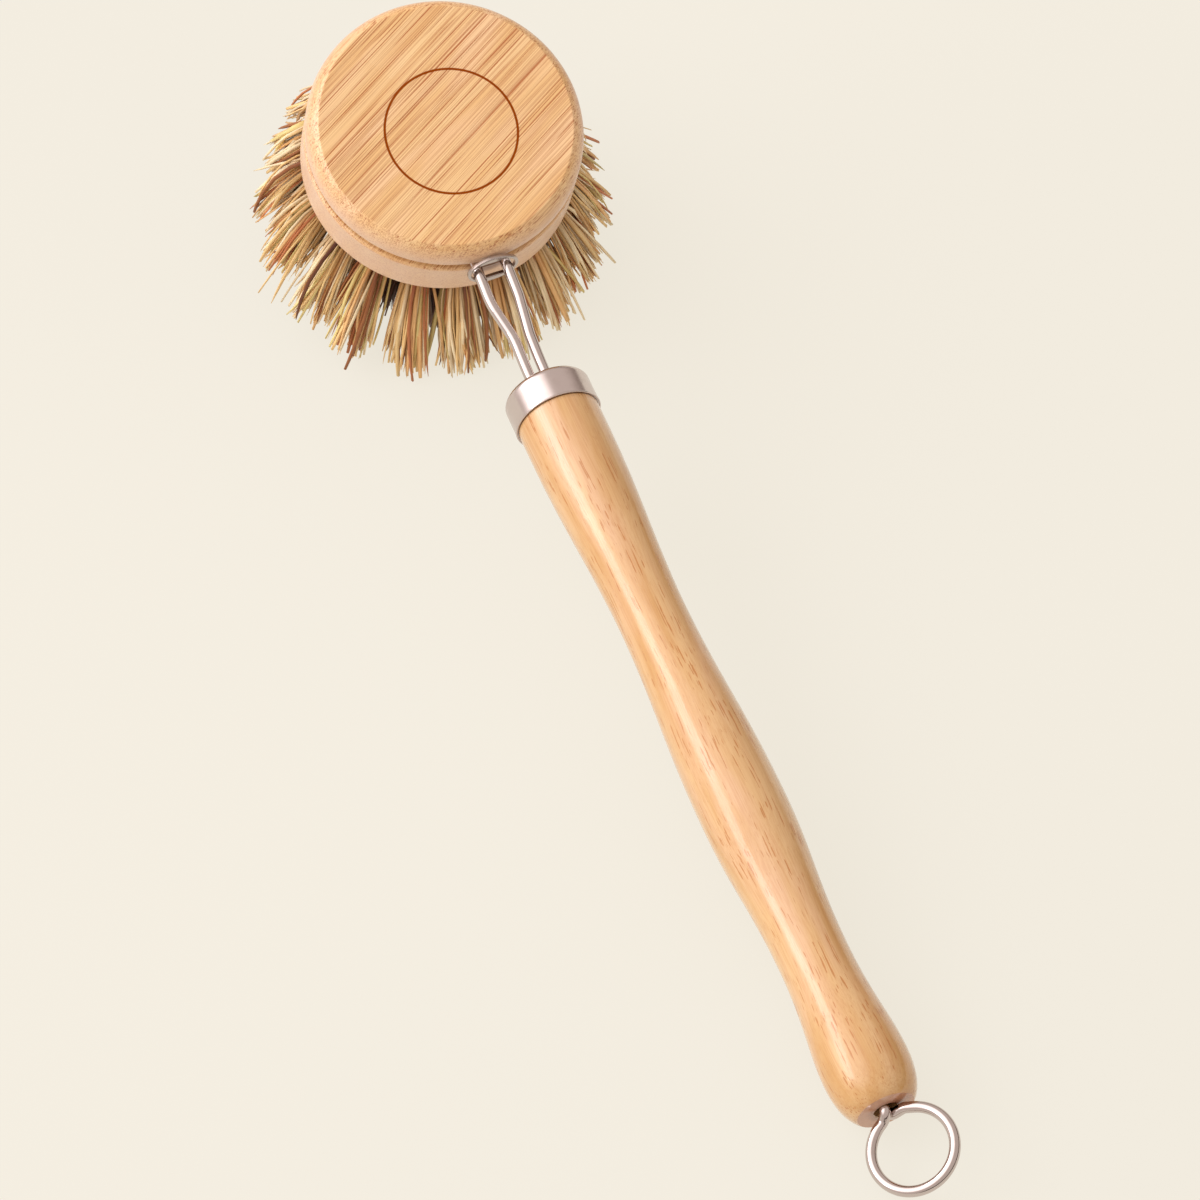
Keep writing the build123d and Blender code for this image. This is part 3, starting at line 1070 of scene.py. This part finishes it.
    def centre_lines(
        self, draw: np.random.Generator, mouth: Vector, axes: Matrix
    ) -> np.ndarray:
        """Centre line of every fibre of one tuft.

        Args:
            draw: Source of random numbers.
            mouth: Mouth of the hole.
            axes: The tuft's axes, the third out along the fibres.

        Returns:
            Array of fibre, step and place in metres.
        """
        root, tip = self.ends(draw, mouth)
        length, tip = self.lengths(draw, tip, axes)
        steps = np.array([-self.hole_depth, self.root_step, *self.free_steps])
        along = np.where(steps < 0, steps, steps * length[:, None])
        share = np.clip(steps, 0, 1)[None, :, None]
        bow_turn = draw.uniform(0, 2 * np.pi, self.fibres)
        bow = np.stack([np.cos(bow_turn), np.sin(bow_turn)], 1)
        bow *= draw.gamma(self.bow_shape, self.bow_scale, self.fibres)[:, None]
        across = root[:, None] + (tip - root)[:, None] * share**self.fan_power
        arch = 4 * share * (1 - share)
        across = across + bow[:, None] * arch
        local = np.concatenate([across, along[..., None]], 2)
        lines = np.array(mouth) + local @ np.array(axes).T
        lines += share**2 * self.use_bend * np.array(self.place.head_axes.col[0])
        return self.above_floor(lines)

    def above_floor(self, lines: np.ndarray) -> np.ndarray:
        """Cut the fibres that would reach the floor off just above it.

        Args:
            lines: Centre lines, as fibre, step and place.

        Returns:
            The same lines, the long ones shortened towards their roots.
        """
        root = lines[:, 1:2]
        low = self.floor_gap + self.thickness / 2
        fall = root[..., 2] - lines[:, -1:, 2]
        share = np.clip((root[..., 2] - low) / np.maximum(fall, TINY), 0, 1)
        share = np.where(lines[:, -1:, 2] < low, share, 1.0)[..., None]
        lines[:, 2:] = root + (lines[:, 2:] - root) * share
        return lines

    def shade(self, lines: np.ndarray) -> np.ndarray:
        """How light the fibres are: full in the brush's outer skin, with painted shade in its core and near the
        roots.

        Args:
            lines: Centre lines, as fibre, step and place.

        Returns:
            Array of fibre and step, up to 1.
        """
        up = np.array(self.place.head_axes.col[2])
        from_centre = lines - np.array(self.place.head_centre)
        level = from_centre @ up
        radius = np.linalg.norm(from_centre - level[..., None] * up, axis=2)
        depth = np.maximum(-level - self.block_thickness, 0)
        inside = self.circle_radius + depth * math.tan(self.splay) - radius
        outer = np.clip(1 - inside / self.core_depth, 0, 1)
        free = self.root_light
        free = free + (1 - self.root_light) * np.clip(depth / self.root_length, 0, 1)
        return 1 - self.core_shade * (1 - outer * free)

    def tones(self, draw: np.random.Generator, lines: np.ndarray) -> np.ndarray:
        """Colour of the fibres at each step: each fibre's own tone with painted shade, warmer where the shade is
        deeper.

        Args:
            draw: Source of random numbers.
            lines: Centre lines, as fibre, step and place.

        Returns:
            Array of fibre, step and linear colour.
        """
        count = len(lines)
        shares = np.array([tone.share for tone in FibreTone])
        pick = draw.choice(len(shares), count, p=shares / shares.sum())
        own = np.array([tone.colour for tone in FibreTone])[pick]
        own = own * draw.uniform(*self.tone_range, (count, 1))
        # Painted shade: the fibres' own tones darkened in the core and near the roots, warmer where darker.
        return own[:, None] * self.shade(lines)[..., None] ** np.array(self.shade_powers)

    def stems(self, draw: np.random.Generator, lines: np.ndarray) -> np.ndarray:
        """Cover the centre lines with flattened, twisting stems, blunt or sharp at the tip.

        Args:
            draw: Source of random numbers.
            lines: Centre lines, as fibre, step and place.

        Returns:
            Array of fibre, step, side and place in metres.
        """
        count, steps = lines.shape[:2]
        spread = draw.lognormal(*self.thickness_log, count)
        width = self.thickness * np.clip(spread, *self.thickness_range)
        flat = draw.uniform(*self.flatness, count)
        blunt = draw.random(count)[:, None] < self.blunt_share
        taper = np.linspace(1.0, self.taper, steps)[None] * np.ones((count, 1))
        taper[:, -2:] = np.where(blunt, self.blunt_end, self.sharp_end)
        tangent = np.gradient(lines, axis=1)
        tangent /= np.linalg.norm(tangent, axis=2, keepdims=True)
        first = np.cross(tangent, draw.normal(size=(count, 1, 3)))
        first /= np.linalg.norm(first, axis=2, keepdims=True)
        second = np.cross(tangent, first)
        turn = np.arange(self.sides) * (2 * np.pi / self.sides)
        twist = draw.uniform(-self.twist, self.twist, count)[:, None]
        angle = turn[None, None] + (twist * np.linspace(0, 1, steps)[None])[..., None]
        size = (width[:, None] * taper / 2)[..., None]
        ring = first[:, :, None] * (np.cos(turn) * size)[..., None]
        ring = ring + second[:, :, None] * (np.sin(turn) * size * flat[:, None, None])[..., None]
        ridge = np.cos(self.ridges * angle) * size * self.ridge_height
        ring = ring + ridge[..., None] * first[:, :, None]
        return lines[:, :, None] + ring

    def faces(self, steps: int) -> list[tuple[int, ...]]:
        """Faces of all stems of a tuft: two end caps and the bands between the steps.

        Args:
            steps: Steps along each fibre.

        Returns:
            Point numbers of each face.
        """
        sides = self.sides
        found = []
        for base in range(0, self.fibres * steps * sides, steps * sides):
            last = base + (steps - 1) * sides
            found.append(tuple(base + side for side in reversed(range(sides))))
            found.append(tuple(last + side for side in range(sides)))
            for low in range(base, last, sides):
                high = low + sides
                for side in range(sides):
                    after = (side + 1) % sides
                    found.append((low + side, low + after, high + after, high + side))
        return found

    def pattern_places(self, draw: np.random.Generator, lines: np.ndarray) -> np.ndarray:
        """Place of every point on its fibre, for the fibre's streaks.

        Args:
            draw: Source of random numbers.
            lines: Centre lines, as fibre, step and place.

        Returns:
            Array of fibre, step, side and place: round the fibre, along it, and a number that
            sets each fibre apart.
        """
        count, steps = lines.shape[:2]
        pieces = np.diff(lines, axis=1, prepend=lines[:, :1])
        place = np.zeros((count, steps, self.sides, 3))
        place[..., 0] = np.arange(self.sides) * (2 * np.pi / self.sides) * self.thickness / 2
        place[..., 1] = np.cumsum(np.linalg.norm(pieces, axis=2), 1)[..., None]
        place[..., 2] = draw.uniform(0, self.pattern_range, count)[:, None, None]
        return place

    def build(self) -> None:
        """Make every tuft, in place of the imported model's plainer one."""
        draw = np.random.default_rng(self.seed)
        material = self.finish.material()
        for number, (mouth, axes) in enumerate(self.mouths(), start=1):
            lines = self.centre_lines(draw, mouth, axes)
            tones = np.repeat(self.tones(draw, lines).reshape(-1, 3), self.sides, 0)
            points = self.stems(draw, lines).reshape(-1, 3)
            places = self.pattern_places(draw, lines)
            faces = self.faces(lines.shape[1])
            piece = add_mesh(f"fibre_tuft_{number:02d}", points, faces, material)
            colours = np.c_[tones, np.ones(len(tones))]
            for name, kind, part, values in (
                ("fibre_tone_and_shade", "FLOAT_COLOR", "color", colours),
                ("fibre_place", "FLOAT_VECTOR", "vector", places),
            ):
                carried = piece.data.attributes.new(name, kind, "POINT")
                carried.data.foreach_set(part, values.astype(np.float32).ravel())
            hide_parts(f"tuft_{number:02d}")
            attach(piece, "head")
            LOG.info("%s: %d fibres, %d points", piece.name, self.fibres, len(points))


@dataclass(frozen=True)
class SoftBox:
    """A wide lamp that shines on the brush from one side."""

    name: str
    azimuth: float
    elevation: float
    distance: float
    width: float
    height: float
    power: float
    tint: Colour

    def build(self, target: Vector) -> None:
        """Hang the lamp round a target.

        Args:
            target: Point that the lamp faces.
        """
        away = bearing(self.azimuth, self.elevation)
        lamp = bpy.data.lights.new(self.name, "AREA")
        lamp.shape = "RECTANGLE"
        lamp.size = self.width
        lamp.size_y = self.height
        lamp.energy = self.power
        lamp.color = self.tint
        thing = bpy.data.objects.new(self.name, lamp)
        thing.location = target + away * self.distance
        thing.rotation_mode = "QUATERNION"
        thing.rotation_quaternion = away.to_track_quat("Z", "Y")
        bpy.context.scene.collection.objects.link(thing)


@dataclass
class Studio:
    """Pale floor, a soft lamp, a soft room and the camera, placed as for the photograph."""

    aim: Vector = field(default_factory=lambda: Vector((6.305, -7.309, 20.0)) * MM)
    distance: float = 1035.63 * MM
    azimuth: float = math.radians(-19.556)
    elevation: float = math.radians(51.954)
    roll: float = math.radians(2.765)
    lens: float = 180.0
    sensor: float = 36.0
    view_range: Limits = (0.01, 50.0)
    floor_size: float = 12.0
    floor_tone: Colour = from_screen(240, 234, 220)
    floor_glow: float = 0.9
    floor_albedo: float = 0.085
    floor_roughness: float = 0.9
    cloud_scale: float = 3.0
    cloud_limits: Limits = (0.3, 0.7)
    cloud_strength: float = 0.02
    room_tone: Colour = (0.74, 0.66, 0.61)
    room_shade: Colour = (0.38, 0.31, 0.27)
    shade_azimuth: float = math.radians(105)
    shade_spread: Limits = (-0.5, 0.8)
    shade_height: Limits = (0.05, 0.6)
    glow_tone: Colour = (2.2, 2.1, 2.1)
    glow_azimuth: float = math.radians(-112)
    glow_elevation: float = math.radians(50)
    glow_spread: Limits = (0.7, 0.96)
    band_tone: Colour = (0.05, 0.034, 0.028)
    band_azimuth: float = math.radians(40)
    band_spread: Limits = (0.05, 0.5)
    band_height: Limits = (0.14, 0.3)
    lamp_target: Vector = field(default_factory=lambda: Vector((0.0, 0.0, 20.0)) * MM)
    lamp: SoftBox = SoftBox(
        name="key_box",
        azimuth=math.radians(-119),
        elevation=math.radians(36),
        distance=1.3,
        width=1.4,
        height=0.46,
        power=6.3,
        tint=(0.98, 0.96, 1.0),
    )

    def build(self) -> None:
        """Set up floor, room, lamp and camera."""
        self.make_floor()
        self.make_world()
        self.lamp.build(self.lamp_target)
        self.make_camera()

    def make_floor(self) -> None:
        """Lay a wide, plain, pale floor that glows a little, so that its shadows stay faint."""
        made = NodeMaterial("pale_floor")
        place = made.place(Vector((0, 0, 0)), Matrix.Identity(3))
        cloud = made.noise(place, scale=self.cloud_scale)
        cloud = made.span(cloud, self.cloud_limits, (0.0, self.cloud_strength))
        made.set(
            Base_Color=made.mix(cloud, (self.floor_albedo,) * 3, self.floor_tone),
            Roughness=self.floor_roughness,
            Specular_IOR_Level=0.0,
            Emission_Color=opaque(self.floor_tone),
            Emission_Strength=self.floor_glow,
        )
        half = self.floor_size / 2
        corners = np.array([(-half, -half, 0), (half, -half, 0), (half, half, 0), (-half, half, 0)])
        add_mesh("studio_floor", corners, [(0, 1, 2, 3)], made.material)

    def make_world(self) -> None:
        """Fill the room with soft light.

        It is bright round the lamp, darker low down across from it, and dark in a band at the
        horizon.
        """
        world = bpy.data.worlds.new("soft_room")
        world.use_nodes = True
        graph = NodeGraph(world.node_tree)
        direction = graph.node("ShaderNodeTexCoord").outputs["Generated"]
        height = graph.dot(direction, UPWARD)
        shade = graph.times(
            graph.span(height, self.shade_height, FALLING),
            graph.span(graph.dot(direction, bearing(self.shade_azimuth)), self.shade_spread),
        )
        bright = bearing(self.glow_azimuth, self.glow_elevation)
        glow = graph.span(graph.dot(direction, bright), self.glow_spread)
        band = graph.times(
            graph.span(height, self.band_height, FALLING),
            graph.span(graph.dot(direction, bearing(self.band_azimuth)), self.band_spread),
        )
        tone = graph.mix(shade, self.room_tone, self.room_shade)
        tone = graph.mix(band, graph.mix(glow, tone, self.glow_tone), self.band_tone)
        graph.feed(world.node_tree.nodes["Background"].inputs["Color"], tone)
        bpy.context.scene.world = world

    def make_camera(self) -> None:
        """Stand the camera where the photograph was taken from."""
        back = bearing(self.azimuth, self.elevation)
        upright = (UPWARD - back * back.z).normalized()
        up = upright * math.cos(self.roll) + upright.cross(back) * math.sin(self.roll)
        lens = bpy.data.cameras.new("photo_camera")
        lens.lens = self.lens
        lens.sensor_width = self.sensor
        lens.clip_start, lens.clip_end = self.view_range
        camera = bpy.data.objects.new("photo_camera", lens)
        camera.location = self.aim + back * self.distance
        camera.rotation_mode = "QUATERNION"
        camera.rotation_quaternion = Matrix((up.cross(back), up, back)).transposed().to_quaternion()
        bpy.context.scene.collection.objects.link(camera)
        bpy.context.scene.camera = camera


def main() -> None:
    """Build and dress the brush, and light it."""
    logging.basicConfig(level=logging.INFO, format="%(message)s")
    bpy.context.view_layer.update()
    place = Placement.from_frame()
    Handle(place).dress()
    Hardware(place).dress()
    HeadBlock(place).dress()
    FibreTufts(place).build()
    Studio().build()
    bpy.context.scene.view_settings.view_transform = "Standard"


if __name__ == "__main__":
    main()
